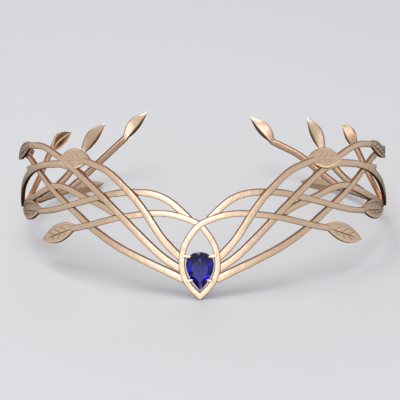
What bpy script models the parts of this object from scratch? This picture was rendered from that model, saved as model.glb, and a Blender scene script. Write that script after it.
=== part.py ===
"""Interlaced leafy tiara headband with a pear-shaped crystal.

The metalwork is laid out flat, as vine strands that end in leaves, and joined into one
casting. It is then bent round an oval plan and tipped back, until it stands on its
front point and its two lowest rear leaves. The crystal sits in the loop at the front.

Flat frame, in millimetres: x runs along the band from its middle, y is the height and
z stands out from the head. World frame, in metres: X to the right, Y back, Z up, with
the origin under the middle of the tiara.
"""
import math
from collections import namedtuple

import bmesh
import bpy
from mathutils import Matrix, Vector

MM = 0.001

# Oval plan of the band, from its front point.
HALF_WIDTH = 73.5
HALF_DEPTH = 62.0
# Behind the temples, one arm is bent a little further round than the other.
ARM_START = 100.0
ARM_STRETCH = 0.045

# Cast strands: thickness at the usual width, spacing of the rings along them, and the run
# over which a strand climbs from the one it springs from to its own level.
STRAND_THICKNESS = 1.7
USUAL_WIDTH = 2.7
RING_SPACING = 5.5
CLIMB = 14.0
# Section of a strand: shares of its width and of its thickness.
SECTION = [(-0.36, -0.5), (0.36, -0.5), (0.5, 0.0), (0.3, 0.5), (-0.3, 0.5), (-0.5, 0.0)]

# Leaves: thickness of the blade, height of the rim over its middle, how far the blade
# starts before the stem ends, and how far the stem runs on into it.
LEAF_THICKNESS = 1.1
LEAF_RIM = 0.2
LEAF_ROOT = 2.0
STEM_RUN = 2.0
LEAF_STEPS_ALONG = 6
LEAF_STEPS_ACROSS = 4
# Powers that shape the upper and the lower lobe: fullest spot, then roundness.
UPPER_LOBE = (0.8, 0.8)
LOWER_LOBE = (1.15, 1.0)
REAR_LOBE = (1.05, 1.05)
# Powers that round the swollen back of a rear leaf, across it and along it.
BELLY_ACROSS = 1.2
BELLY_ALONG = 0.7
# Corners of the blade that fall nearer than this, at its root and its tip, are one point.
BLADE_WELD = 0.01

# Pear crystal, point down, with its girdle in the window of the front loop.
STONE_WIDTH = 10.4
STONE_HEIGHT = 15.0
STONE_BOTTOM = 3.1
STONE_CORNERS = 16
TABLE_SCALE = 0.56
CROWN = 1.7
GIRDLE = 0.5
PAVILION = 4.2
GIRDLE_LEVEL = 0.4
STONE_CENTRE = Vector((0.0, STONE_BOTTOM + 0.56 * STONE_HEIGHT))
# Largest value of sin(a) * sin(a / 2), which is the half width of a unit teardrop.
TEARDROP_FULLNESS = 0.77
# Claws of the right half: the finger over the stone and the seat behind it, each from its
# root in the loop to its tip, their thickness, and the levels where they pass the stone.
CLAWS = [(((5.8, 17.0), (3.7, 16.7)), ((5.8, 15.4), (4.2, 15.0))),
         (((4.6, 7.3), (3.0, 7.6)), ((4.6, 6.7), (3.0, 7.3)))]
CLAW_SIZE = 0.9
FINGER_LEVEL = 1.45
SEAT_LEVEL = -1.3

# Slice taken off the three lowest spots, so that each is a small flat foot, and the size
# of the block that takes it.
FOOT_DEPTH = 0.35
GROUND_BLOCK = 400.0

# Points of a swept strand nearer than this are one point.
WELD = 0.0001
# Edges of the finished pieces that turn by more than this, in degrees, stay sharp.
SMOOTH_ANGLE = 35

LEFT, RIGHT = -1, 1

# How far each arm leans to the left of the front, at its widest.
SIDE_LEAN = {LEFT: 0.2, RIGHT: 0.9}

Vine = namedtuple("Vine", "points widths levels leaf")
# A leaf's tip, the half widths of its upper and its lower lobe, and how far its back swells.
Leaf = namedtuple("Leaf", "tip upper lower belly")

# One half of the lattice. Points are (along, height) from the strand's start to the
# root of its leaf, and levels are (at the start, further on).
VINES = {
    "loop": Vine(
        [(0.8, 0.2), (-3.5, 4.5), (-6, 9), (-6.7, 14), (-5.8, 20), (-3.4, 24.6), (0, 28.7),
         (5.5, 31.3), (11.5, 32.7), (18, 32.6), (30.5, 30.1), (44, 25.5), (51, 23.2)],
        (2.3, 2.4), (0.3, 0.3), Leaf((70.2, 14.6), 3.8, 3.1, 0.0)),
    "branch": Vine(
        [(3, 30), (7.5, 34.5), (11, 37.4), (15, 39.4), (20.5, 40.3), (30.5, 39.5),
         (41.5, 36.2), (62, 28.6), (73, 25.6)],
        (2.7, 2.2), (-0.3, -0.3), Leaf((95, 20.3), 4.6, 3.3, 0.0)),
    "low_vine": Vine(
        [(5.5, 7), (11, 9.6), (22.5, 14.4), (32.5, 18.7), (42.5, 24.1), (51.5, 29.7),
         (59, 33.8), (65.8, 37.6), (71.5, 41), (76, 43.3), (81.5, 45.3), (90, 46), (100, 44),
         (109.5, 40.6)],
        (3.0, 2.3), (-0.4, -0.7), Leaf((122, 38.8), 2.4, 2.4, 0.0)),
    "crest_stem": Vine(
        [(6.3, 15), (10, 18.8), (14, 23.7), (21.5, 35.1), (27, 41.3), (35, 47.8), (44, 50.6)],
        (2.9, 2.5), (-0.2, 0.8), Leaf((57.4, 48.9), 4.9, 3.3, 0.0)),
    "crest_vine": Vine(
        [(6.5, 11), (14, 16.2), (32.2, 33.2), (42.5, 41.7), (52, 47.8), (61, 51.5),
         (68, 52.7), (77, 51.2)],
        (2.9, 2.4), (-0.3, 0.3), Leaf((95.5, 41.5), 2.9, 1.8, 0.0)),
    "crest_fork": Vine(
        [(45, 43.8), (50, 46.3), (55, 47.3), (59.5, 47.1), (70, 44.4), (80, 39.6),
         (90, 32.3), (102, 20.9)],
        (2.8, 2.6), (-0.1, 0.0), None),
    "crest_stub": Vine([(69, 44.4), (76, 42.7), (82.5, 40.4)], (2.4, 2.3), (0.1, 0.1), None),
    "rear_vine": Vine(
        [(30, 30), (39, 33.9), (46, 35.7), (52, 37.5), (57.5, 38.2), (63.5, 37.3), (76, 31.3),
         (90, 25), (104, 20.2), (115, 18), (130, 16.6), (150.5, 16.3)],
        (2.7, 2.3), (-0.9, -0.9), Leaf((167.5, 16.4), 2.6, 2.8, 0.0)),
    "rear_stem_a": Vine(
        [(108, 19.4), (118, 21.7), (127.5, 26.7), (138, 36.5)],
        (2.2, 2.8), (-0.7, -0.7), Leaf((148.1, 43.1), 3.8, 2.5, 1.4)),
    "rear_stem_b": Vine(
        [(128, 16.8), (143, 20.7), (152.5, 26.5), (157, 31.7)],
        (3.0, 2.8), (-0.7, -0.7), Leaf((166.7, 43.6), 3.9, 2.1, 1.4)),
    "rear_stem_c": Vine(
        [(147, 16.4), (157, 20.8), (168, 27.4), (179.8, 33.7)],
        (3.0, 2.8), (-0.7, -0.7), Leaf((190.3, 44.6), 3.6, 1.9, 1.4)),
}

# Where two strands of the same level cross, the lift says which one passes in front.
LIFT = {("loop", RIGHT): 0.25, ("loop", LEFT): -0.15,
        ("crest_vine", LEFT): 0.3, ("crest_vine", RIGHT): -0.2}

# How far the tips of the rear leaves lean on the left arm, and the other way on the right,
# and the ends of their stems with them.
TIP_LEAN = {"rear_stem_a": (2.5, -1.7), "rear_stem_b": (2.3, -1.0), "rear_stem_c": (-0.3, 1.4)}
STEM_LEAN = {"rear_stem_c": (-0.9, 1.2)}

# One rear leaf has a hollow back, this deep, where the others are swollen.
HOLLOW_BACK = {("rear_stem_a", LEFT): 0.45}


def clear_scene():
    for item in list(bpy.data.objects):
        bpy.data.objects.remove(item, do_unlink=True)


def material(name, colour, metallic, roughness):
    made = bpy.data.materials.new(name)
    made.use_nodes = True
    shader = made.node_tree.nodes["Principled BSDF"]
    shader.inputs["Base Color"].default_value = (*colour, 1.0)
    shader.inputs["Metallic"].default_value = metallic
    shader.inputs["Roughness"].default_value = roughness
    return made


def mesh_object(name, body):
    """Put a finished bmesh in the scene as an object."""
    mesh = bpy.data.meshes.new(name)
    body.to_mesh(mesh)
    body.free()
    item = bpy.data.objects.new(name, mesh)
    bpy.context.scene.collection.objects.link(item)
    return item


def smooth_path(points, spacing):
    """Points about `spacing` apart on a smooth curve through the given ones."""
    knots = [Vector(point) for point in points]
    knots = [2 * knots[0] - knots[1], *knots, 2 * knots[-1] - knots[-2]]
    path = []
    for before, start, end, after in zip(knots, knots[1:], knots[2:], knots[3:]):
        span = (end - start).length
        leaving = (end - before) * span / (span + (start - before).length)
        arriving = (after - start) * span / (span + (after - end).length)
        steps = max(1, round(span / spacing))
        for step in range(steps):
            t = step / steps
            path.append((2 * t**3 - 3 * t**2 + 1) * start + (t**3 - 2 * t**2 + t) * leaving
                        + (3 * t**2 - 2 * t**3) * end + (t**3 - t**2) * arriving)
    path.append(knots[-2])
    return path


def leaning(name, vine, side):
    """The vine as it is on one arm, with the end of its stem and its leaf's tip leaning."""
    if not vine.leaf:
        return vine
    end = Vector(vine.points[-1]) - side * Vector(STEM_LEAN.get(name, (0.0, 0.0)))
    tip = Vector(vine.leaf.tip) - side * Vector(TIP_LEAN.get(name, (0.0, 0.0)))
    return vine._replace(points=[*vine.points[:-1], end], leaf=vine.leaf._replace(tip=tip))


def ease(t):
    t = min(max(t, 0.0), 1.0)
    return t * t * (3 - 2 * t)


def strand_profile():
    """Flat six-sided section of a strand of unit width, as a curve to sweep."""
    curve = bpy.data.curves.new("strand_profile", "CURVE")
    curve.dimensions = "2D"
    spline = curve.splines.new("POLY")
    spline.points.add(len(SECTION) - 1)
    for point, (across, through) in zip(spline.points, SECTION):
        point.co = (across, through * STRAND_THICKNESS / USUAL_WIDTH, 0.0, 1.0)
    spline.use_cyclic_u = True
    profile = bpy.data.objects.new("strand_profile", curve)
    bpy.context.scene.collection.objects.link(profile)
    return profile


def curve_to_mesh(curve_object):
    """Replace a swept curve by its closed mesh."""
    depsgraph = bpy.context.evaluated_depsgraph_get()
    mesh = bpy.data.meshes.new_from_object(curve_object.evaluated_get(depsgraph))
    shell = bmesh.new()
    shell.from_mesh(mesh)
    bmesh.ops.remove_doubles(shell, verts=shell.verts, dist=WELD)
    bmesh.ops.recalc_face_normals(shell, faces=shell.faces)
    bmesh.ops.triangulate(shell, faces=shell.faces)
    shell.to_mesh(mesh)
    shell.free()
    solid = bpy.data.objects.new(curve_object.name, mesh)
    bpy.context.scene.collection.objects.link(solid)
    bpy.data.objects.remove(curve_object, do_unlink=True)
    return solid


def strand(name, vine, side, profile):
    """Sweep the section along one strand, and a little way into its leaf."""
    path = smooth_path(vine.points, RING_SPACING)
    if vine.leaf:
        onward = (Vector(vine.leaf.tip) - path[-1]).normalized()
        path.append(path[-1] + onward * STEM_RUN)
    curve = bpy.data.curves.new(name, "CURVE")
    curve.dimensions = "3D"
    curve.twist_mode = "Z_UP"
    curve.bevel_mode = "OBJECT"
    curve.bevel_object = profile
    curve.use_fill_caps = True
    spline = curve.splines.new("POLY")
    spline.points.add(len(path) - 1)
    lift = LIFT.get((name, side), 0.0)
    run = 0.0
    length = sum((b - a).length for a, b in zip(path, path[1:]))
    for index, (point, place) in enumerate(zip(spline.points, path)):
        if index:
            run += (place - path[index - 1]).length
        start_level, level = vine.levels
        height = start_level + (level - start_level) * ease(run / CLIMB) + lift
        point.co = (side * place.x, place.y, height, 1.0)
        point.radius = vine.widths[0] + (vine.widths[1] - vine.widths[0]) * run / length
    item = bpy.data.objects.new(name, curve)
    bpy.context.scene.collection.objects.link(item)
    bpy.context.view_layer.update()
    return curve_to_mesh(item)


def lobe(t, powers):
    """Share of its full half width that a lobe has at share t of the leaf's length."""
    fullest, roundness = powers
    return math.sin(math.pi * t**fullest) ** roundness if 0 < t < 1 else 0.0


def leaf(name, root, form, side, level, hollow):
    """Blade from root to tip, with a rim in front and a swollen or a hollow back."""
    root = Vector((side * root.x, root.y))
    tip = Vector((side * form.tip.x, form.tip.y))
    belly = -hollow if hollow else form.belly
    upper_lobe, lower_lobe = (REAR_LOBE, REAR_LOBE) if form.belly else (UPPER_LOBE, LOWER_LOBE)
    axis = (tip - root).normalized()
    root = root - axis * LEAF_ROOT
    length = (tip - root).length
    blade = bmesh.new()
    bmesh.ops.create_grid(blade, x_segments=LEAF_STEPS_ALONG, y_segments=LEAF_STEPS_ACROSS, size=1.0)
    raised = bmesh.ops.extrude_face_region(blade, geom=blade.faces[:], use_keep_orig=True)["geom"]
    front = {part for part in raised if isinstance(part, bmesh.types.BMVert)}
    for vert in blade.verts:
        t = (vert.co.x + 1) / 2
        across = vert.co.y
        upper = across * side > 0
        half_width = form.upper * lobe(t, upper_lobe) if upper else form.lower * lobe(t, lower_lobe)
        place = root + axis * t * length + Vector((-axis.y, axis.x)) * across * half_width
        along_bow = max(0.0, math.sin(math.pi * t))
        if vert in front:
            rise = LEAF_THICKNESS / 2 + LEAF_RIM * abs(across) * along_bow
        else:
            swell = belly * (1 - abs(across) ** BELLY_ACROSS)
            rise = -LEAF_THICKNESS / 2 - swell * along_bow**BELLY_ALONG
        vert.co = (place.x, place.y, level + rise)
    bmesh.ops.remove_doubles(blade, verts=blade.verts, dist=BLADE_WELD)
    bmesh.ops.recalc_face_normals(blade, faces=blade.faces)
    bmesh.ops.triangulate(blade, faces=blade.faces)
    return mesh_object(name, blade)


def apply_modifiers(item):
    depsgraph = bpy.context.evaluated_depsgraph_get()
    mesh = bpy.data.meshes.new_from_object(item.evaluated_get(depsgraph))
    item.modifiers.clear()
    item.data = mesh
    return item


def join(base, pieces):
    """One closed body out of overlapping ones. EXACT drops some of the thin blades here."""
    for piece in pieces:
        union = base.modifiers.new("join", "BOOLEAN")
        union.operation = "UNION"
        union.solver = "MANIFOLD"
        union.object = piece
        apply_modifiers(base)
        bpy.data.objects.remove(piece, do_unlink=True)
    return base


def bar(start, end, low, high, width):
    """Box round the line between two flat points, from one level to another."""
    start, end = Vector(start), Vector(end)
    along = end - start
    box = bmesh.new()
    bmesh.ops.create_cube(box, size=1.0)
    bmesh.ops.scale(box, vec=(along.length + width, width, high - low), verts=box.verts)
    middle = (start + end) / 2
    place = Matrix.Translation((middle.x, middle.y, (low + high) / 2))
    turn = Matrix.Rotation(math.atan2(along.y, along.x), 4, "Z")
    bmesh.ops.transform(box, matrix=place @ turn, verts=box.verts)
    return mesh_object("bar", box)


def claw(finger, seat, side):
    """A finger over the stone's edge, and a seat on a post at the loop's back."""
    root, tip = (Vector((side * along, height)) for along, height in finger)
    post, rest = (Vector((side * along, height)) for along, height in seat)
    return [bar(root, root, 0.0, FINGER_LEVEL + CLAW_SIZE, CLAW_SIZE),
            bar(root, tip, FINGER_LEVEL, FINGER_LEVEL + CLAW_SIZE, CLAW_SIZE),
            bar(post, post, SEAT_LEVEL - CLAW_SIZE, 0.0, CLAW_SIZE),
            bar(post, rest, SEAT_LEVEL - CLAW_SIZE, SEAT_LEVEL, CLAW_SIZE)]


def pear_outline(angle):
    """Teardrop round the stone, from its point at the bottom and back to it."""
    fullness = math.sin(angle) * abs(math.sin(angle / 2)) / TEARDROP_FULLNESS
    rise = (1 - math.cos(angle)) / 2
    return Vector((0.5 * STONE_WIDTH * fullness, STONE_BOTTOM + STONE_HEIGHT * rise))


def crystal():
    """Crown, girdle and pointed pavilion, turned round and then drawn out to a pear."""
    stone = bmesh.new()
    crown_middle = GIRDLE_LEVEL + (GIRDLE + CROWN) / 2
    bmesh.ops.create_cone(stone, cap_ends=True, segments=STONE_CORNERS, radius1=1.0,
                          radius2=TABLE_SCALE, depth=CROWN,
                          matrix=Matrix.Translation((0.0, 0.0, crown_middle)))
    base = min(stone.faces, key=lambda face: face.calc_center_median().z)
    girdle = bmesh.ops.extrude_face_region(stone, geom=[base])["geom"]
    lowered = [part for part in girdle if isinstance(part, bmesh.types.BMVert)]
    bmesh.ops.translate(stone, vec=(0.0, 0.0, -GIRDLE), verts=lowered)
    underside = [part for part in girdle if isinstance(part, bmesh.types.BMFace)]
    bmesh.ops.delete(stone, geom=[base], context="FACES_ONLY")
    culet = bmesh.ops.poke(stone, faces=underside)["verts"][0]
    culet.co.z -= PAVILION
    for vert in stone.verts:
        outline = pear_outline(math.atan2(vert.co.x, -vert.co.y))
        place = STONE_CENTRE.lerp(outline, math.hypot(vert.co.x, vert.co.y))
        vert.co = (place.x, place.y, vert.co.z)
    bmesh.ops.recalc_face_normals(stone, faces=stone.faces)
    return mesh_object("pear_crystal", stone)


def plan_table(steps=400):
    """Arc length from the front point against angle round the oval plan."""
    angles = [math.pi * step / steps for step in range(steps + 1)]
    lengths = [0.0]
    for a, b in zip(angles, angles[1:]):
        middle = (a + b) / 2
        lengths.append(lengths[-1] + (b - a) * math.hypot(HALF_WIDTH * math.cos(middle),
                                                          HALF_DEPTH * math.sin(middle)))
    return angles, lengths


def plan_angle(along, table):
    angles, lengths = table
    index = next(i for i in range(1, len(lengths)) if lengths[i] >= along or i == len(lengths) - 1)
    share = (along - lengths[index - 1]) / (lengths[index] - lengths[index - 1])
    return angles[index - 1] + share * (angles[index] - angles[index - 1])


def bend(point, table):
    """Flat frame to the upright band, in millimetres."""
    side = RIGHT if point.x > 0 else LEFT
    along = abs(point.x)
    along += side * ARM_STRETCH * max(0.0, along - ARM_START)
    angle = plan_angle(along, table)
    outward = Vector((HALF_DEPTH * math.sin(angle), -HALF_WIDTH * math.cos(angle))).normalized()
    x = HALF_WIDTH * math.sin(angle) + outward.x * point.z
    y = HALF_DEPTH * (1 - math.cos(angle)) + outward.y * point.z
    return Vector((side * x - SIDE_LEAN[side] * math.sin(angle), y, point.y))


def shape_mesh(item, placing):
    """Move every vertex of a piece by a function, on triangles that stay flat."""
    body = bmesh.new()
    body.from_mesh(item.data)
    bmesh.ops.triangulate(body, faces=body.faces, ngon_method="EAR_CLIP")
    for vert in body.verts:
        vert.co = placing(vert.co)
    body.to_mesh(item.data)
    body.free()
    item.data.update()


def standing_turn(mesh):
    """Rotation that lays the front point and the lowest leaf of each arm on the table."""
    places = [vert.co for vert in mesh.vertices]
    front = min(places, key=lambda co: co.z)
    feet = []
    for side in (LEFT, RIGHT):
        arm = [co - front for co in places if co.y > 1.5 * HALF_DEPTH and side * co.x > 0]
        feet.append(min(arm, key=lambda co: math.atan2(co.z, co.y)))
    table_normal = feet[1].cross(feet[0])
    return table_normal.rotation_difference(Vector((0, 0, 1))).to_matrix().to_4x4()


def trim_feet(frame):
    """Cut the lowest spots flat."""
    lowest = min(vert.co.z for vert in frame.data.vertices)
    block_size = GROUND_BLOCK * MM
    bpy.ops.mesh.primitive_cube_add(size=block_size)
    block = bpy.context.object
    block.location.z = lowest + FOOT_DEPTH * MM - block_size / 2
    cut = frame.modifiers.new("feet", "BOOLEAN")
    cut.operation = "DIFFERENCE"
    cut.solver = "EXACT"
    cut.object = block
    bpy.context.view_layer.update()
    apply_modifiers(frame)
    bpy.data.objects.remove(block, do_unlink=True)


def centre_on_origin(frame, others):
    """Put the origin under the middle of the frame's box, on the ground."""
    places = [vert.co for vert in frame.data.vertices]
    low = Vector([min(co[axis] for co in places) for axis in range(3)])
    high = Vector([max(co[axis] for co in places) for axis in range(3)])
    shift = Matrix.Translation((-(low.x + high.x) / 2, -(low.y + high.y) / 2, -low.z))
    for item in [frame, *others]:
        item.data.transform(shift)


def build():
    clear_scene()
    parts = bpy.data.collections.new("leafy_tiara")
    bpy.context.scene.collection.children.link(parts)
    profile = strand_profile()
    pieces = []
    for side in (LEFT, RIGHT):
        for name, usual_vine in VINES.items():
            vine = leaning(name, usual_vine, side)
            pieces.append(strand(name, vine, side, profile))
            if vine.leaf:
                level = vine.levels[1] + LIFT.get((name, side), 0.0)
                hollow = HOLLOW_BACK.get((name, side), 0.0)
                pieces.append(leaf(name + "_leaf", vine.points[-1], vine.leaf, side, level, hollow))
        for finger, seat in CLAWS:
            pieces.extend(claw(finger, seat, side))
    bpy.data.objects.remove(profile, do_unlink=True)
    frame = join(pieces[0], pieces[1:])
    frame.name = "tiara_frame"
    stone = crystal()

    table = plan_table()
    shape_mesh(frame, lambda co: bend(co, table))
    shape_mesh(stone, lambda co: Vector((co.x, -co.z, co.y)))
    standing = Matrix.Scale(MM, 4) @ standing_turn(frame.data)
    for item in (frame, stone):
        item.data.transform(standing)
    trim_feet(frame)
    centre_on_origin(frame, [stone])

    gold = material("pale_gold_plate", (0.76, 0.55, 0.38), 1.0, 0.3)
    crystal_blue = material("violet_blue_crystal", (0.05, 0.03, 0.30), 0.0, 0.05)
    for item, finish in ((frame, gold), (stone, crystal_blue)):
        bpy.context.scene.collection.objects.unlink(item)
        parts.objects.link(item)
        item.data.materials.clear()
        item.data.materials.append(finish)
        item.data.shade_smooth()
        item.data.set_sharp_from_angle(angle=math.radians(SMOOTH_ANGLE))


build()
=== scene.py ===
"""Looks of the leafy interlaced tiara with a pear crystal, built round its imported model.

The casting is laid out flat, as vine strands that end in leaves, bent round the oval plan
of the band and stood on its front point and two rear leaves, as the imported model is. The
flat frame is in millimetres: x runs along the band from its middle, y is the height and z
stands out from the head. World positions are in metres.
"""
import math
from bisect import bisect_left
from collections import namedtuple

import bmesh
import bpy
from mathutils import Matrix, Vector, noise


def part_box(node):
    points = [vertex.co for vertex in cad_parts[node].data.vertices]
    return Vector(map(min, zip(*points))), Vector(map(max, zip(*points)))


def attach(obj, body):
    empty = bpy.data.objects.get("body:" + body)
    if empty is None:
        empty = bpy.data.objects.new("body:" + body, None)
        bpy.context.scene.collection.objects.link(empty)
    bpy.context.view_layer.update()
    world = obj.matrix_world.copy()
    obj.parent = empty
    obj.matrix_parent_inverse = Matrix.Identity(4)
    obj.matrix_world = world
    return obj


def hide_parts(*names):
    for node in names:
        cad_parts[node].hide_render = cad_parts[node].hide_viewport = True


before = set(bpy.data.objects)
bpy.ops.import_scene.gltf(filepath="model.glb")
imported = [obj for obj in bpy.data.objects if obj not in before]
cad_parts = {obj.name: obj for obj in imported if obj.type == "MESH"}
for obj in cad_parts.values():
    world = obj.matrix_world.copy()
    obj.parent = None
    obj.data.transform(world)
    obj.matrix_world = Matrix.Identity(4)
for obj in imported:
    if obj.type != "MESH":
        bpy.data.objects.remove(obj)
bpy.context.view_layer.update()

FRAME_LOW, FRAME_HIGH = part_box("tiara_frame")

MM = 0.001

# Oval plan of the band, from its front point, and the extra bend of one arm.
HALF_WIDTH = 73.5
HALF_DEPTH = 62.0
ARM_START = 100.0
ARM_STRETCH = 0.045

# Cast strands: thickness at the usual width, spacing of the rings, climb to their level.
STRAND_THICKNESS = 1.7
USUAL_WIDTH = 2.7
RING_SPACING = 1.3
RING_POINTS = 20
CLIMB = 14.0
# The hand-worked wax is uneven: share of the width, and waves per millimetre.
UNEVEN = 0.07
UNEVEN_PACE = 0.3
# Roundness of the section: 1 is an oval, towards 0 a box. The face is flat, the back round.
FACE_POWER = 0.3
BACK_POWER = 0.75
# A free end is rounded over half its width, with rings at these shares of that. A stem thins
# to this share of its width where it runs on into its leaf.
END_RINGS = (0.02, 0.15, 0.4, 0.7)
STEM_TIP = 0.25
# The polished face gives way to the cast wall over this share of the width, and the walls to
# the back over this share of the thickness.
WALL_START = 0.33
WALL_RUN = 0.14
BACK_RUN = 0.25
# Painted shade on the walls and the back, standing in for dark undersides, from 0 for the lit
# polished face to 1 for the darkest; it also roughens them as cast skin.
WALL_SHADE = 0.95
BACK_SHADE = 0.4
# Inside the temples, over this span along the band, a painted red-orange reflection of the facing
# gold is laid on the plate. On a strand it starts this far in front of the middle, as a share of
# the thickness, and is full after the run towards the back. On the back of a leaf it has this
# share of its strength.
REFLECTION_SPAN = (90.0, 14.0, 130.0, 14.0)
REFLECTION_START = 0.2
REFLECTION_RUN = 1 / 3
LEAF_REFLECTION = 0.5
# The strands that meet in a mitre at their low ends, how much further they start out than
# they end up, and the height under which they are cut.
MITRED = ("loop",)
MITRE_RUN = 1.5
MITRE_TOP = 6.0

# Leaves: how far the blade starts before the stem ends and the stem runs on into it, the
# steps of the mesh along and across it, and the bead on the tip of a swollen leaf.
LEAF_THICKNESS = 1.1
LEAF_ROOT = 2.0
STEM_RUN = 3.5
LEAF_STEPS = (64, 38)
REAR_LEAF_STEPS = (40, 24)
TIP_BEAD = 0.65
# Powers that shape the upper and the lower lobe: fullest spot, then roundness.
UPPER_LOBE = (0.8, 0.8)
LOWER_LOBE = (1.15, 1.0)
REAR_LOBE = (1.05, 1.05)
# Relief of the blade: raised rim with a rounded edge, hollow between, cut midrib and veins.
# Places and spans are shares of the half width or, for the midrib, of the leaf's length.
LEAF_RIM = 0.08
RIM_START = 0.72
RIM_RUN = 0.12
LEAF_EDGE = 0.22
EDGE_START = 0.88
EDGE_RUN = 0.12
LEAF_HOLLOW = 0.06
HOLLOW_SPAN = (0.0, 0.3, 0.8, 0.25)
MIDRIB_DEPTH = 0.24
MIDRIB_WIDTH = 0.2
MIDRIB_SPAN = (0.1, 0.1, 0.86, 0.2)
VEIN_DEPTH = 0.22
VEIN_WIDTH = 0.18
VEIN_SPAN = (0.05, 0.12, 0.66, 0.16)
VEIN_STARTS = (0.26, 0.43, 0.6)
VEIN_SLOPE = 0.23
VEIN_ANGLE = math.radians(40)
# The relief and the back both die away towards the root and the tip, by these powers.
RELIEF_FADE = 0.5
BACK_FADE = 0.7
# The lines in some leaves are only lightly cut.
LIGHT_CUT = {"crest_stem": 0.45}
# Powers of the curve across a swollen back and a hollow one, and the ridge in the hollow.
BELLY_POWER = 1.2
DISH_POWER = 4
RIDGE_PLACE = -0.15
RIDGE_WIDTH = 0.12
# Painted shade on a leaf: on its edge, in its engraved lines, and on the two halves of its back,
# more on the lower half that faces down.
LEAF_WALL_START = 0.9
LEAF_WALL_RUN = 0.1
LINE_SHADE = 0.8
UPPER_BACK_SHADE = 0.24
LOWER_BACK_SHADE = 0.64

# Pear crystal, point down, in the window of the front loop. The level is that of the upper
# edge of its girdle, and the girdle, the crown and the pavilion are given by their heights.
STONE_WIDTH = 10.4
STONE_HEIGHT = 15.0
STONE_BOTTOM = 3.1
STONE_CENTRE = Vector((0.0, STONE_BOTTOM + 0.56 * STONE_HEIGHT))
GIRDLE_LEVEL = 0.4
GIRDLE = 0.5
CROWN = 1.7
PAVILION = 4.2
TABLE_SCALE = 0.56
TEARDROP_FULLNESS = 0.77
OUTLINE_CORNERS = 64
TANGENT_STEP = 0.01
# Facets as (how many, first one's share of a step, scale and share of the height of the
# inner line that the facet runs to from the girdle's tangent).
CROWN_FACETS = [(8, 0.5, TABLE_SCALE, 1.0), (16, 0.5, 0.70, 1.0)]
STAR_FACETS = (8, 0.0, 0.80, 0.70)
PAVILION_FACETS = [(8, 0.0, 0.0, 1.0), (16, 0.5, 0.22, 1.0)]
# Claws of the right half: the finger over the stone and the seat behind it, each from its
# root in the loop to its tip. They are square bars with rounded edges, and a bead rounds off
# each finger, this share of the bar's size above the finger's underside.
CLAWS = [(((5.8, 17.0), (3.7, 16.7)), ((5.8, 15.4), (4.2, 15.0))),
         (((4.6, 7.3), (3.0, 7.6)), ((4.6, 6.7), (3.0, 7.3)))]
CLAW_SIZE = 0.9
CLAW_ROUNDING = 0.3
CLAW_BEAD = 0.52
BEAD_RISE = 0.55
FINGER_LEVEL = 1.45
SEAT_LEVEL = -1.3

LEFT, RIGHT = -1, 1

# How far each arm leans to the left of the front, at its widest, and how many half depths
# behind the front point its rear foot is looked for.
SIDE_LEAN = {LEFT: 0.2, RIGHT: 0.9}
REAR_START = 1.5

Vine = namedtuple("Vine", "points widths levels leaf")
# A leaf's tip, the half widths of its upper and its lower lobe, and how far its back swells.
Leaf = namedtuple("Leaf", "tip upper lower belly")

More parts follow.
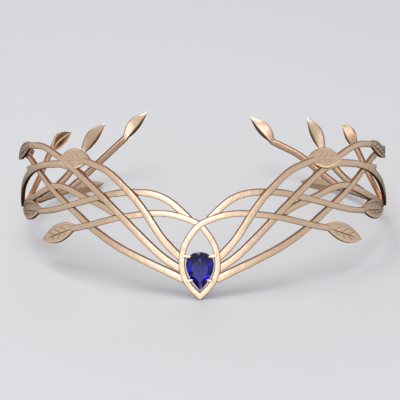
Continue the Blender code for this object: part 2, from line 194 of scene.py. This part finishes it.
# One half of the lattice: (along, height) points to the root of each strand's leaf, widths
# at the start and the end, and levels at the start and further on.
VINES = {
    "loop": Vine(
        [(0.8, 0.2), (-3.5, 4.5), (-6, 9), (-6.7, 14), (-5.8, 20), (-3.4, 24.6), (0, 28.7),
         (5.5, 31.3), (11.5, 32.7), (18, 32.6), (30.5, 30.1), (44, 25.5), (51, 23.2)],
        (2.3, 2.4), (0.3, 0.3), Leaf((70.2, 14.6), 3.8, 3.1, 0.0)),
    "branch": Vine(
        [(3, 30), (7.5, 34.5), (11, 37.4), (15, 39.4), (20.5, 40.3), (30.5, 39.5),
         (41.5, 36.2), (62, 28.6), (73, 25.6)],
        (2.7, 2.2), (-0.3, -0.3), Leaf((95, 20.3), 4.6, 3.3, 0.0)),
    "low_vine": Vine(
        [(5.5, 7), (11, 9.6), (22.5, 14.4), (32.5, 18.7), (42.5, 24.1), (51.5, 29.7),
         (59, 33.8), (65.8, 37.6), (71.5, 41), (76, 43.3), (81.5, 45.3), (90, 46), (100, 44),
         (109.5, 40.6)],
        (3.0, 2.3), (-0.4, -0.7), Leaf((122, 38.8), 2.4, 2.4, 0.0)),
    "crest_stem": Vine(
        [(6.3, 15), (10, 18.8), (14, 23.7), (21.5, 35.1), (27, 41.3), (35, 47.8), (44, 50.6)],
        (2.9, 2.5), (-0.2, 0.8), Leaf((57.4, 48.9), 4.9, 3.3, 0.0)),
    "crest_vine": Vine(
        [(6.5, 11), (14, 16.2), (32.2, 33.2), (42.5, 41.7), (52, 47.8), (61, 51.5),
         (68, 52.7), (77, 51.2)],
        (2.9, 2.4), (-0.3, 0.3), Leaf((95.5, 41.5), 2.9, 1.8, 0.0)),
    "crest_fork": Vine(
        [(45, 43.8), (50, 46.3), (55, 47.3), (59.5, 47.1), (70, 44.4), (80, 39.6),
         (90, 32.3), (102, 20.9)],
        (2.8, 2.6), (-0.1, 0.0), None),
    "crest_stub": Vine([(69, 44.4), (76, 42.7), (82.5, 40.4)], (2.4, 2.3), (0.1, 0.1), None),
    "rear_vine": Vine(
        [(30, 30), (39, 33.9), (46, 35.7), (52, 37.5), (57.5, 38.2), (63.5, 37.3), (76, 31.3),
         (90, 25), (104, 20.2), (115, 18), (130, 16.6), (150.5, 16.3)],
        (2.7, 2.3), (-0.9, -0.9), Leaf((167.5, 16.4), 2.6, 2.8, 0.0)),
    "rear_stem_a": Vine(
        [(108, 19.4), (118, 21.7), (127.5, 26.7), (138, 36.5)],
        (2.2, 2.8), (-0.7, -0.7), Leaf((148.1, 43.1), 3.8, 2.5, 1.4)),
    "rear_stem_b": Vine(
        [(128, 16.8), (143, 20.7), (152.5, 26.5), (157, 31.7)],
        (3.0, 2.8), (-0.7, -0.7), Leaf((166.7, 43.6), 3.9, 2.1, 1.4)),
    "rear_stem_c": Vine(
        [(147, 16.4), (157, 20.8), (168, 27.4), (179.8, 33.7)],
        (3.0, 2.8), (-0.7, -0.7), Leaf((190.3, 44.6), 3.6, 1.9, 1.4)),
}

# Where two strands of the same level cross, the lift says which one passes in front.
LIFT = {("loop", RIGHT): 0.25, ("loop", LEFT): -0.15,
        ("crest_vine", LEFT): 0.3, ("crest_vine", RIGHT): -0.2}

# How far the tips of the rear leaves lean on the left arm, and the other way on the right,
# and the ends of their stems with them.
TIP_LEAN = {"rear_stem_a": (2.5, -1.7), "rear_stem_b": (2.3, -1.0), "rear_stem_c": (-0.3, 1.4)}
STEM_LEAN = {"rear_stem_c": (-0.9, 1.2)}

# One rear leaf has a hollow back with a ridge along it, where the others are swollen.
HOLLOW_BACK = {("rear_stem_a", LEFT): 0.45}


def ease(t):
    """Smooth step from 0 to 1."""
    t = min(max(t, 0.0), 1.0)
    return t * t * (3 - 2 * t)


def within(value, span):
    """1 inside a span and 0 outside it. A span is (start, run in, end, run out)."""
    start, run_in, end, run_out = span
    return ease((value - start) / run_in) * ease((end - value) / run_out)


def parts_of(kind, geometry):
    """The vertices, edges or faces in the mixed result of an operator."""
    return [part for part in geometry if isinstance(part, kind)]


def whole(body):
    """All the vertices, edges and faces of a body."""
    return body.verts[:] + body.edges[:] + body.faces[:]


def smooth_path(points, spacing):
    """Points about `spacing` apart on a smooth curve through the given ones."""
    knots = [Vector(point) for point in points]
    knots = [2 * knots[0] - knots[1], *knots, 2 * knots[-1] - knots[-2]]
    path = []
    for before, start, end, after in zip(knots, knots[1:], knots[2:], knots[3:]):
        span = (end - start).length
        leaving = (end - before) * span / (span + (start - before).length)
        arriving = (after - start) * span / (span + (after - end).length)
        steps = max(1, round(span / spacing))
        for step in range(steps):
            t = step / steps
            path.append((2 * t**3 - 3 * t**2 + 1) * start + (t**3 - 2 * t**2 + t) * leaving
                        + (3 * t**2 - 2 * t**3) * end + (t**3 - t**2) * arriving)
    path.append(knots[-2])
    return path


# ---------------------------------------------------------------- casting, laid flat

def leaning(name, vine, side):
    """The vine as it is on one arm, with the end of its stem and its leaf's tip leaning."""
    if not vine.leaf:
        return vine
    end = Vector(vine.points[-1]) - side * Vector(STEM_LEAN.get(name, (0.0, 0.0)))
    tip = Vector(vine.leaf.tip) - side * Vector(TIP_LEAN.get(name, (0.0, 0.0)))
    return vine._replace(points=[*vine.points[:-1], end], leaf=vine.leaf._replace(tip=tip))


def strand_section(ring):
    """Shape a unit circle into a strand's section: flat face, soft edges, round back."""
    for vert in ring:
        power = FACE_POWER if vert.co.y > 0 else BACK_POWER
        across = 0.5 * math.copysign(abs(vert.co.x) ** power, vert.co.x)
        out = 0.5 * math.copysign(abs(vert.co.y) ** power, vert.co.y)
        vert.co = (across, out, 0.0)


def end_rings(path, width):
    """The path with closer rings over its first half width, where the end is rounded."""
    onward = (path[1] - path[0]).normalized()
    return [path[0] + onward * 0.5 * width * share for share in END_RINGS] + path[1:]


def rounded_end(distance, width):
    """Share of the width that a rounded end has at a distance from its tip."""
    short = max(0.0, 1 - distance / (0.5 * width))
    return math.sqrt(max(0.0, 1 - short**2))


def new_form():
    """Empty form, and what its vertices carry: place in the grain, painted shade (with the cast
    skin's roughness) and a painted reflection.
    """
    body = bmesh.new()
    grain = body.verts.layers.float_vector.new("grain")
    shade_and_skin = body.verts.layers.float.new("shade_and_skin")
    painted_reflection = body.verts.layers.float.new("painted_reflection")
    return body, grain, shade_and_skin, painted_reflection


def strand(name, vine, side, casting):
    """Sweep the section along the strand, ring by ring, into the casting."""
    path = smooth_path(vine.points, RING_SPACING)
    mitred = name in MITRED
    if mitred:
        path.insert(0, path[0] + (path[0] - path[1]).normalized() * MITRE_RUN)
    else:
        path = end_rings(path, vine.widths[0])
    if vine.leaf:
        onward = (Vector(vine.leaf.tip) - path[-1]).normalized()
        stem_steps = round(STEM_RUN / RING_SPACING)
        path += [path[-1] + onward * RING_SPACING * step for step in range(1, stem_steps + 1)]
    else:
        path = end_rings(path[::-1], vine.widths[1])[::-1]
    path = [Vector((side * place.x, place.y)) for place in path]
    length = sum((b - a).length for a, b in zip(path, path[1:]))
    first = END_RINGS[0] * 0.5 * vine.widths[0]
    lift = LIFT.get((name, side), 0.0)
    body, grain, shade_and_skin, painted_reflection = new_form()
    ring = bmesh.ops.create_circle(body, segments=RING_POINTS, radius=1.0)["verts"]
    strand_section(ring)
    edges = body.edges[:]
    caps = [edges]
    placed = Matrix.Identity(4)
    run = 0.0
    for index, place in enumerate(path):
        if index:
            run += (place - path[index - 1]).length
            grown = bmesh.ops.extrude_edge_only(body, edges=edges)["geom"]
            edges = parts_of(bmesh.types.BMEdge, grown)
            ring = parts_of(bmesh.types.BMVert, grown)
        ahead = (path[min(index + 1, len(path) - 1)] - path[max(index - 1, 0)]).normalized()
        width = vine.widths[0] + (vine.widths[1] - vine.widths[0]) * run / length
        if not mitred:
            width *= rounded_end(first + run, width)
        if vine.leaf:
            width *= STEM_TIP + (1 - STEM_TIP) * ease((length - run) / STEM_RUN)
        else:
            width *= rounded_end(first + length - run, width)
        width *= 1 + UNEVEN * noise.noise(Vector((place.x, place.y, 0.0)) * UNEVEN_PACE)
        thickness = STRAND_THICKNESS * width / USUAL_WIDTH
        level = vine.levels[0] + (vine.levels[1] - vine.levels[0]) * ease(run / CLIMB) + lift
        sideways = Vector((-ahead.y, ahead.x, 0.0))
        turn = Matrix((sideways * width, Vector((0, 0, thickness)), (*ahead, 0.0))).transposed()
        wanted = Matrix.Translation((place.x, place.y, level)) @ turn.to_4x4()
        bmesh.ops.transform(body, matrix=wanted @ placed.inverted(), verts=ring)
        placed = wanted
        for vert in ring:
            local = wanted.inverted() @ vert.co
            vert[grain] = (run, local.x * width, local.y * thickness)
            # Painted shade on the walls and the back, which also roughens them as cast skin, and
            # a painted reflection on the inner side inside the temples.
            vert[shade_and_skin] = max(WALL_SHADE * ease((abs(local.x) - WALL_START) / WALL_RUN),
                             BACK_SHADE * ease(-local.y / BACK_RUN))
            inwards = ease((REFLECTION_START - local.y) / REFLECTION_RUN)
            vert[painted_reflection] = inwards * within(side * place.x, REFLECTION_SPAN)
    caps.append(edges)
    for cap in caps:
        bmesh.ops.contextual_create(body, geom=cap)
    if mitred:
        cut_mitre(body, side)
    add_to_casting(body, casting)


def cut_mitre(body, side):
    """Cut the low end of a strand on the middle plane, where it meets its twin."""
    low = [vert for vert in body.verts if vert.co.y < MITRE_TOP]
    near = set(low)
    edges = [edge for edge in body.edges if near.issuperset(edge.verts)]
    faces = [face for face in body.faces if near.issuperset(face.verts)]
    halved = bmesh.ops.bisect_plane(body, geom=[*low, *edges, *faces], dist=1e-5,
                                    plane_co=(0.0, 0.0, 0.0), plane_no=(side, 0.0, 0.0),
                                    clear_outer=True)["geom_cut"]
    bmesh.ops.contextual_create(body, geom=parts_of(bmesh.types.BMEdge, halved))


def lobe(t, powers):
    """Share of its full half width that a lobe has at share t of the leaf's length."""
    fullest, roundness = powers
    return math.sin(math.pi * t**fullest) ** roundness if 0 < t < 1 else 0.0


def groove(distance, width):
    """Depth of an engraver's cut, from 1 on its line to 0 beside it."""
    return math.exp(-(distance / width) ** 2)


def face_relief(t, across, offset, length, line_depth):
    """Height of the worked face over the blade, and the depth of the lines cut into it.

    The place is a share t of the leaf's length, a share across its half width, and that as
    an offset in millimetres from the midrib.
    """
    rim = LEAF_RIM * ease((across - RIM_START) / RIM_RUN)
    edge = LEAF_EDGE * max(0.0, (across - EDGE_START) / EDGE_RUN) ** 2
    hollow = LEAF_HOLLOW * within(across, HOLLOW_SPAN)
    lines = MIDRIB_DEPTH * groove(offset, MIDRIB_WIDTH) * within(t, MIDRIB_SPAN)
    for start in VEIN_STARTS:
        aside = (t - start - VEIN_SLOPE * across) * length * math.sin(VEIN_ANGLE)
        vein = VEIN_DEPTH * groove(aside, VEIN_WIDTH) * within(across, VEIN_SPAN)
        lines = max(lines, vein)
    fade = max(0.0, math.sin(math.pi * t)) ** RELIEF_FADE
    lines *= line_depth
    return (rim - edge - hollow - lines) * fade, lines * fade


def leaf(root, tip, form, side, level, line_depth, hollow, casting):
    """Blade with a rim, midrib and side veins in its face, along the line root to tip."""
    axis = (tip - root).normalized()
    root = root - axis * LEAF_ROOT
    length = (tip - root).length
    body, grain, shade_and_skin, painted_reflection = new_form()
    steps_along, steps_across = REAR_LEAF_STEPS if form.belly else LEAF_STEPS
    upper_lobe, lower_lobe = (REAR_LOBE, REAR_LOBE) if form.belly else (UPPER_LOBE, LOWER_LOBE)
    bmesh.ops.create_grid(body, x_segments=steps_along, y_segments=steps_across, size=1.0)
    raised = bmesh.ops.extrude_face_region(body, geom=body.faces[:], use_keep_orig=True)["geom"]
    front = set(parts_of(bmesh.types.BMVert, raised))
    for vert in body.verts:
        t = (vert.co.x + 1) / 2
        across = vert.co.y
        upper = across * side > 0
        half_width, powers = (form.upper, upper_lobe) if upper else (form.lower, lower_lobe)
        offset = across * (half_width * lobe(t, powers))
        place = root + axis * t * length + Vector((-axis.y, axis.x)) * offset
        # Painted shade on the edge of the blade, and below in the cut lines of its face.
        vert[shade_and_skin] = WALL_SHADE * ease((abs(across) - LEAF_WALL_START) / LEAF_WALL_RUN)
        if vert in front:
            relief, carved = face_relief(t, abs(across), offset, length, line_depth)
            rise = LEAF_THICKNESS / 2 + relief
            vert[shade_and_skin] = max(vert[shade_and_skin], LINE_SHADE * min(1.0, carved / MIDRIB_DEPTH))
        else:
            fade = max(0.0, math.sin(math.pi * t)) ** BACK_FADE
            if hollow:
                ridge = groove(across - RIDGE_PLACE, RIDGE_WIDTH)
                dish = (1 - abs(across) ** DISH_POWER) * fade * (1 - ridge)
                # Painted shade fills the hollow and leaves its ridge light.
                vert[shade_and_skin] = dish
                swell = -hollow * dish
            else:
                # Painted shade on the back, heavier on the lower half, which faces down.
                vert[shade_and_skin] = UPPER_BACK_SHADE if upper else LOWER_BACK_SHADE
                swell = form.belly * (1 - abs(across) ** BELLY_POWER) * fade
            rise = -LEAF_THICKNESS / 2 - swell
            # Painted reflection of the facing gold on the back inside the temples.
            vert[painted_reflection] = LEAF_REFLECTION * within(side * place.x, REFLECTION_SPAN)
        vert.co = (place.x, place.y, level + rise)
        vert[grain] = (t * length, offset, rise)
    bmesh.ops.remove_doubles(body, verts=body.verts, dist=0.01)
    add_to_casting(body, casting)
    if form.belly and not hollow:
        blunt = tip - axis * TIP_BEAD
        bead((blunt.x, blunt.y, level), TIP_BEAD, casting)


def bar(start, end, low, high, width, casting):
    """Rounded bar round the line between two flat points, from one level to another."""
    along = end - start
    body, grain, _, _ = new_form()
    bmesh.ops.create_cube(body, size=1.0)
    bmesh.ops.scale(body, vec=(along.length + width, width, high - low), verts=body.verts)
    bmesh.ops.bevel(body, geom=body.edges[:], offset=CLAW_ROUNDING * width, affect="EDGES",
                    segments=4, profile=0.5, material=-1)
    for vert in body.verts:
        vert[grain] = vert.co
    middle = (start + end) / 2
    place = Matrix.Translation((middle.x, middle.y, (low + high) / 2))
    turn = Matrix.Rotation(math.atan2(along.y, along.x), 4, "Z")
    bmesh.ops.transform(body, matrix=place @ turn, verts=body.verts)
    add_to_casting(body, casting)


def bead(place, radius, casting):
    """Small ball that rounds off a finger or a leaf's tip."""
    ball, grain, _, _ = new_form()
    bmesh.ops.create_uvsphere(ball, u_segments=16, v_segments=10, radius=radius,
                              matrix=Matrix.Translation(place))
    for vert in ball.verts:
        vert[grain] = vert.co
    add_to_casting(ball, casting)


def claw(finger, seat, side, casting):
    """A beaded finger over the stone's edge, and a seat on a post at the loop's back."""
    size = CLAW_SIZE
    root, tip = (Vector((side * along, height)) for along, height in finger)
    bar(root, root, 0.0, FINGER_LEVEL + size, size, casting)
    bar(root, tip, FINGER_LEVEL, FINGER_LEVEL + size, size, casting)
    post, rest = (Vector((side * along, height)) for along, height in seat)
    bar(post, post, SEAT_LEVEL - size, 0.0, size, casting)
    bar(post, rest, SEAT_LEVEL - size, SEAT_LEVEL, size, casting)
    bead((tip.x, tip.y, FINGER_LEVEL + size * BEAD_RISE), CLAW_BEAD, casting)


def add_to_casting(body, casting):
    """Orient a finished closed form and append it to the casting."""
    bmesh.ops.recalc_face_normals(body, faces=body.faces)
    mesh = bpy.data.meshes.new("form")
    body.to_mesh(mesh)
    body.free()
    casting.from_mesh(mesh)
    bpy.data.meshes.remove(mesh)


# ---------------------------------------------------------------- crystal

def pear_outline(angle):
    """Teardrop round the stone, from its point at the bottom and back to it."""
    fullness = math.sin(angle) * abs(math.sin(angle / 2)) / TEARDROP_FULLNESS
    rise = (1 - math.cos(angle)) / 2
    return Vector((0.5 * STONE_WIDTH * fullness, STONE_BOTTOM + STONE_HEIGHT * rise))


def grind(stone, point, along, inward):
    """Grind one flat facet that holds a point and two directions, and close the cut."""
    normal = along.cross(inward).normalized()
    centre = Vector((*STONE_CENTRE, GIRDLE_LEVEL))
    if normal.dot(point - centre) < 0:
        normal = -normal
    ground = bmesh.ops.bisect_plane(stone, geom=whole(stone), dist=1e-5, plane_co=point,
                                    plane_no=normal, clear_outer=True)["geom_cut"]
    rim = parts_of(bmesh.types.BMEdge, ground)
    if len(rim) > 2:
        bmesh.ops.holes_fill(stone, edges=rim)


def facet_ring(stone, facets, outer, outer_level, height):
    """Facets round the stone, from its outline at one scale and level to an inner line."""
    count, first, inner, share = facets
    for step in range(count):
        angle = 2 * math.pi * (step + first) / count
        rim = pear_outline(angle)
        ahead = pear_outline(angle + TANGENT_STEP) - pear_outline(angle - TANGENT_STEP)
        start = STONE_CENTRE.lerp(rim, outer)
        end = STONE_CENTRE.lerp(rim, inner)
        point = Vector((*start, outer_level))
        inward = Vector((*(end - start), share * height))
        grind(stone, point, Vector((*ahead, 0.0)), inward)


def crystal():
    """Pear block ground to a table, mains, stars and halves, over a pointed pavilion."""
    stone = bmesh.new()
    bmesh.ops.create_circle(stone, cap_ends=True, segments=OUTLINE_CORNERS, radius=1.0)
    for vert in stone.verts:
        outline = pear_outline(math.atan2(vert.co.x, -vert.co.y))
        vert.co = (outline.x, outline.y, GIRDLE_LEVEL - GIRDLE - PAVILION)
    grown = bmesh.ops.extrude_face_region(stone, geom=stone.faces[:], use_keep_orig=True)["geom"]
    bmesh.ops.translate(stone, vec=(0.0, 0.0, PAVILION + GIRDLE + CROWN),
                        verts=parts_of(bmesh.types.BMVert, grown))
    bmesh.ops.recalc_face_normals(stone, faces=stone.faces)
    for facets in CROWN_FACETS:
        facet_ring(stone, facets, 1.0, GIRDLE_LEVEL, CROWN)
    count, first, outer, share = STAR_FACETS
    facet_ring(stone, (count, first, TABLE_SCALE, 1 - share), outer,
               GIRDLE_LEVEL + share * CROWN, CROWN)
    for facets in PAVILION_FACETS:
        facet_ring(stone, facets, 1.0, GIRDLE_LEVEL - GIRDLE, -PAVILION)
    bmesh.ops.remove_doubles(stone, verts=stone.verts, dist=0.001)
    bmesh.ops.recalc_face_normals(stone, faces=stone.faces)
    return stone


# ---------------------------------------------------------------- bending and standing

class Plan:
    """Oval plan of the band, with the arc length from its front point."""

    def __init__(self, steps=600):
        self.angles = [math.pi * step / steps for step in range(steps + 1)]
        self.lengths = [0.0]
        for a, b in zip(self.angles, self.angles[1:]):
            middle = (a + b) / 2
            pace = math.hypot(HALF_WIDTH * math.cos(middle), HALF_DEPTH * math.sin(middle))
            self.lengths.append(self.lengths[-1] + (b - a) * pace)

    def angle(self, along):
        """Angle round the oval of a place along the band."""
        index = min(max(1, bisect_left(self.lengths, along)), len(self.lengths) - 1)
        before = self.lengths[index - 1]
        share = (along - before) / (self.lengths[index] - before)
        return self.angles[index - 1] + share * (self.angles[index] - self.angles[index - 1])

    def bend(self, point):
        """Flat frame to the upright band, in millimetres."""
        side = RIGHT if point.x > 0 else LEFT
        along = abs(point.x)
        along += side * ARM_STRETCH * max(0.0, along - ARM_START)
        angle = self.angle(along)
        outward = Vector((HALF_DEPTH * math.sin(angle), -HALF_WIDTH * math.cos(angle)))
        outward.normalize()
        x = HALF_WIDTH * math.sin(angle) + outward.x * point.z
        y = HALF_DEPTH * (1 - math.cos(angle)) + outward.y * point.z
        return Vector((side * x - SIDE_LEAN[side] * math.sin(angle), y, point.y))


def standing_turn(places):
    """Rotation that lays the front point and the lowest leaf of each arm on the table."""
    front = min(places, key=lambda co: co.z)
    feet = []
    for side in (LEFT, RIGHT):
        arm = [co - front for co in places if co.y > REAR_START * HALF_DEPTH and side * co.x > 0]
        feet.append(min(arm, key=lambda co: math.atan2(co.z, co.y)))
    table_normal = feet[1].cross(feet[0])
    return table_normal.rotation_difference(Vector((0, 0, 1))).to_matrix().to_4x4()


def seat_in_frame(places):
    """Shift that lines the casting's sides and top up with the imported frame's box."""
    low = Vector([min(co[axis] for co in places) for axis in range(3)])
    high = Vector([max(co[axis] for co in places) for axis in range(3)])
    middle = (FRAME_LOW + FRAME_HIGH) / 2 - (low + high) / 2
    return Matrix.Translation((middle.x, middle.y, FRAME_HIGH.z - high.z))


def cut_feet(casting):
    """Flat feet on the ground plane."""
    levelled = bmesh.ops.bisect_plane(casting, geom=whole(casting), plane_co=(0, 0, FRAME_LOW.z),
                                      plane_no=(0, 0, -1), clear_outer=True)["geom_cut"]
    bmesh.ops.holes_fill(casting, edges=parts_of(bmesh.types.BMEdge, levelled))


def piece(name, body, material, replaced, smooth_angle=None):
    """Finish a body as a visible piece that takes the place of one CAD solid."""
    mesh = bpy.data.meshes.new(name)
    body.to_mesh(mesh)
    body.free()
    if smooth_angle:
        mesh.shade_smooth()
        mesh.set_sharp_from_angle(angle=math.radians(smooth_angle))
    else:
        mesh.shade_flat()
    mesh.materials.append(material)
    item = bpy.data.objects.new(name, mesh)
    bpy.context.scene.collection.objects.link(item)
    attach(item, "root")
    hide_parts(replaced)


# ---------------------------------------------------------------- materials

def srgb(code):
    """Linear colour of an sRGB hex code."""
    channels = [int(code[i:i + 2], 16) / 255 for i in (1, 3, 5)]
    linear = [c / 12.92 if c <= 0.04045 else ((c + 0.055) / 1.055) ** 2.4 for c in channels]
    return (*linear, 1.0)


def node(tree, kind, settings=None, **links):
    """Add a node with its settings, and set or link its inputs.

    An input is named with underscores for the spaces, or by an i and its number.
    """
    made = tree.nodes.new(kind)
    for key, value in (settings or {}).items():
        setattr(made, key, value)
    for key, value in links.items():
        socket = made.inputs[int(key[1:])] if key[0] == "i" and key[1:].isdigit() \
            else made.inputs[key.replace("_", " ")]
        if isinstance(value, bpy.types.NodeSocket):
            tree.links.new(value, socket)
        else:
            socket.default_value = value
    return made


def champagne_gold():
    """Champagne gold plate on cast brass, satin brushed along the strands, with painted shade and
    a painted reflection.
    """
    made = bpy.data.materials.new("champagne_gold_plate")
    made.use_nodes = True
    tree = made.node_tree
    shader = tree.nodes["Principled BSDF"]
    shader.inputs["Metallic"].default_value = 1.0
    grain = node(tree, "ShaderNodeAttribute", {"attribute_name": "grain"}).outputs["Vector"]
    # Brush lines about 6 mm long and a quarter of a millimetre apart.
    stretched = node(tree, "ShaderNodeMapping", Vector=grain, Scale=(0.16, 4.0, 4.0)).outputs[0]
    brushed = node(tree, "ShaderNodeTexNoise", Vector=stretched, Scale=1.0, Detail=3.0).outputs[0]
    coords = node(tree, "ShaderNodeTexCoord").outputs["Object"]
    # Soft unevenness of the casting, about 3 mm from hump to hump, and patches of a slightly
    # different tint, about 11 mm across.
    humps = node(tree, "ShaderNodeTexNoise", Vector=coords, Scale=350.0, Detail=2.0).outputs[0]
    tint = node(tree, "ShaderNodeTexNoise", Vector=coords, Scale=90.0, Detail=2.0).outputs[0]
    # Painted shade: walls, backs, leaf edges and cut lines are darkened to brown, and roughened
    # as cast skin.
    shade_and_skin = node(tree, "ShaderNodeAttribute", {"attribute_name": "shade_and_skin"}).outputs["Fac"]
    face = node(tree, "ShaderNodeMix", {"data_type": "RGBA"}, Factor=tint,
                i6=srgb("#E9C6A4"), i7=srgb("#F1D4B6")).outputs[2]
    shaded = node(tree, "ShaderNodeMix", {"data_type": "RGBA"}, Factor=shade_and_skin, i6=face,
                   i7=srgb("#74492C")).outputs[2]
    # Painted red-orange reflection of the facing gold inside the temples, with a finer polish
    # there.
    painted_reflection = node(tree, "ShaderNodeAttribute", {"attribute_name": "painted_reflection"}).outputs["Fac"]
    colour = node(tree, "ShaderNodeMix", {"data_type": "RGBA"}, Factor=painted_reflection, i6=shaded,
                  i7=srgb("#C77D40"))
    tree.links.new(colour.outputs[2], shader.inputs["Base Color"])
    polish = node(tree, "ShaderNodeMapRange", Value=brushed, To_Min=0.18, To_Max=0.3).outputs[0]
    skin_rough = node(tree, "ShaderNodeMix", Factor=shade_and_skin, i2=polish, i3=0.5).outputs[0]
    rough = node(tree, "ShaderNodeMix", Factor=painted_reflection, i2=skin_rough, i3=0.16)
    tree.links.new(rough.outputs[0], shader.inputs["Roughness"])
    # Sandy grain of the mould, about 0.9 mm.
    sand = node(tree, "ShaderNodeTexNoise", Vector=coords, Scale=1100.0, Detail=2.0).outputs[0]
    sandy = node(tree, "ShaderNodeBump", Strength=0.6, Distance=0.0001, Height=sand).outputs[0]
    uneven = node(tree, "ShaderNodeBump", Strength=0.5, Distance=0.0003, Height=humps,
                  Normal=sandy).outputs[0]
    bump = node(tree, "ShaderNodeBump", Strength=0.25, Distance=0.0001, Height=brushed,
                Normal=uneven)
    tree.links.new(bump.outputs[0], shader.inputs["Normal"])
    return made


def violet_crystal():
    """Cut glass crystal, violet blue all through: thin edges are paler than the middle."""
    made = bpy.data.materials.new("violet_blue_crystal")
    made.use_nodes = True
    tree = made.node_tree
    shader = tree.nodes["Principled BSDF"]
    shader.inputs["Base Color"].default_value = srgb("#9A90BC")
    shader.inputs["Roughness"].default_value = 0.0
    shader.inputs["IOR"].default_value = 1.51
    shader.inputs["Transmission Weight"].default_value = 1.0
    depth = node(tree, "ShaderNodeVolumeAbsorption", Color=srgb("#6E4EEE"), Density=540.0)
    tree.links.new(depth.outputs[0], tree.nodes["Material Output"].inputs["Volume"])
    return made


# ---------------------------------------------------------------- stage

def stage():
    """Pale floor and soft studio light."""
    floor_mesh = bmesh.new()
    bmesh.ops.create_grid(floor_mesh, x_segments=1, y_segments=1, size=3.0)
    mesh = bpy.data.meshes.new("floor")
    floor_mesh.to_mesh(mesh)
    floor_mesh.free()
    floor = bpy.data.objects.new("floor", mesh)
    bpy.context.scene.collection.objects.link(floor)
    paper = bpy.data.materials.new("pale_paper")
    paper.use_nodes = True
    shader = paper.node_tree.nodes["Principled BSDF"]
    shader.inputs["Base Color"].default_value = srgb("#B4B4B6")
    shader.inputs["Roughness"].default_value = 0.8
    mesh.materials.append(paper)
    # The metal mirrors the dark part of the studio in place of the pale floor.
    floor.visible_glossy = False

    world = bpy.data.worlds.new("studio")
    bpy.context.scene.world = world
    world.use_nodes = True
    tree = world.node_tree
    heading = node(tree, "ShaderNodeTexCoord").outputs["Generated"]
    # Dark warm brown below the tiara and behind it, and pale walls all round.
    down = node(tree, "ShaderNodeVectorMath", {"operation": "DOT_PRODUCT"}, i0=heading,
                i1=(0, 0.35, -0.94)).outputs["Value"]
    pale = node(tree, "ShaderNodeMapRange", {"interpolation_type": "SMOOTHSTEP"}, Value=down,
                From_Min=0.28, From_Max=0.8, To_Min=1.0, To_Max=0.0).outputs[0]
    walls = node(tree, "ShaderNodeMix", {"data_type": "RGBA"}, Factor=pale,
                 i6=srgb("#2E2019"), i7=srgb("#D4D6DA")).outputs[2]
    tree.links.new(walls, tree.nodes["Background"].inputs["Color"])
    # A wide soft glow in front of the tiara, a little to the left.
    facing = node(tree, "ShaderNodeVectorMath", {"operation": "DOT_PRODUCT"}, i0=heading,
                  i1=(-0.12, -0.99, -0.1)).outputs["Value"]
    glow = node(tree, "ShaderNodeMapRange", {"interpolation_type": "SMOOTHSTEP"}, Value=facing,
                From_Min=0.7, From_Max=0.98, To_Min=1.0, To_Max=1.9).outputs[0]
    tree.links.new(glow, tree.nodes["Background"].inputs["Strength"])

    light("overhead", (-0.15, -0.2, 0.9), 0.6, 6.5, "#FFFCF8")
    light("front", (-0.18, -1.13, 0.3), 0.7, 3.8, "#CEDFFF")
    light("back", (0.0, 1.0, 0.5), 0.9, 3.0, "#FFFFFF")
    light("left", (-1.0, -0.1, 0.45), 0.6, 1.4, "#FFFFFF")
    light("right", (1.0, -0.1, 0.45), 0.6, 1.2, "#FFFFFF")


def light(name, place, size, power, colour):
    """Square area light aimed at the part: size in metres, power in watts."""
    lamp = bpy.data.lights.new(name, "AREA")
    lamp.size = size
    lamp.energy = power
    lamp.color = srgb(colour)[:3]
    item = bpy.data.objects.new(name, lamp)
    item.location = place
    item.rotation_euler = (-Vector(place)).to_track_quat("-Z", "Y").to_euler()
    item.visible_camera = False
    bpy.context.scene.collection.objects.link(item)


def camera():
    """Long lens, a little above the band and nearly straight in front of it."""
    data = bpy.data.cameras.new("camera")
    item = bpy.data.objects.new("camera", data)
    bpy.context.scene.collection.objects.link(item)
    bpy.context.scene.camera = item
    target = Vector((0.0005, 0.0013, 0.0169))
    azimuth, elevation, roll = math.radians(2.0), math.radians(22.3), math.radians(-0.71)
    distance = 0.7
    back = Vector((math.sin(azimuth) * math.cos(elevation),
                   -math.cos(azimuth) * math.cos(elevation), math.sin(elevation)))
    item.location = target + back * distance
    turn = back.to_track_quat("Z", "Y").to_matrix().to_4x4() @ Matrix.Rotation(roll, 4, "Z")
    item.rotation_euler = turn.to_euler()
    data.lens = 155.4
    data.sensor_width = 36.0
    data.shift_x = -0.011925
    data.shift_y = -0.01875
    data.clip_start = 0.01


def build():
    """Lay out the casting flat, bend it round the head, stand it up and set the crystal."""
    casting, *_ = new_form()
    for side in (LEFT, RIGHT):
        for name, usual_vine in VINES.items():
            vine = leaning(name, usual_vine, side)
            strand(name, vine, side, casting)
            if vine.leaf:
                root = Vector((side * vine.points[-1].x, vine.points[-1].y))
                tip = Vector((side * vine.leaf.tip.x, vine.leaf.tip.y))
                level = vine.levels[1] + LIFT.get((name, side), 0.0)
                hollow = HOLLOW_BACK.get((name, side), 0.0)
                line_depth = LIGHT_CUT.get(name, 1.0)
                leaf(root, tip, vine.leaf, side, level, line_depth, hollow, casting)
        for finger, seat in CLAWS:
            claw(finger, seat, side, casting)
    plan = Plan()
    for vert in casting.verts:
        vert.co = plan.bend(vert.co)
    stone = crystal()
    for vert in stone.verts:
        vert.co = (vert.co.x, -vert.co.z, vert.co.y)
    standing = Matrix.Scale(MM, 4) @ standing_turn([vert.co for vert in casting.verts])
    for body in (casting, stone):
        body.transform(standing)
    seat = seat_in_frame([vert.co for vert in casting.verts])
    for body in (casting, stone):
        body.transform(seat)
    cut_feet(casting)
    piece("cast_lattice", casting, champagne_gold(), "tiara_frame", smooth_angle=45)
    piece("cut_pear_crystal", stone, violet_crystal(), "pear_crystal")


build()
stage()
camera()
bpy.context.scene.view_settings.view_transform = "Standard"
bpy.context.view_layer.update()
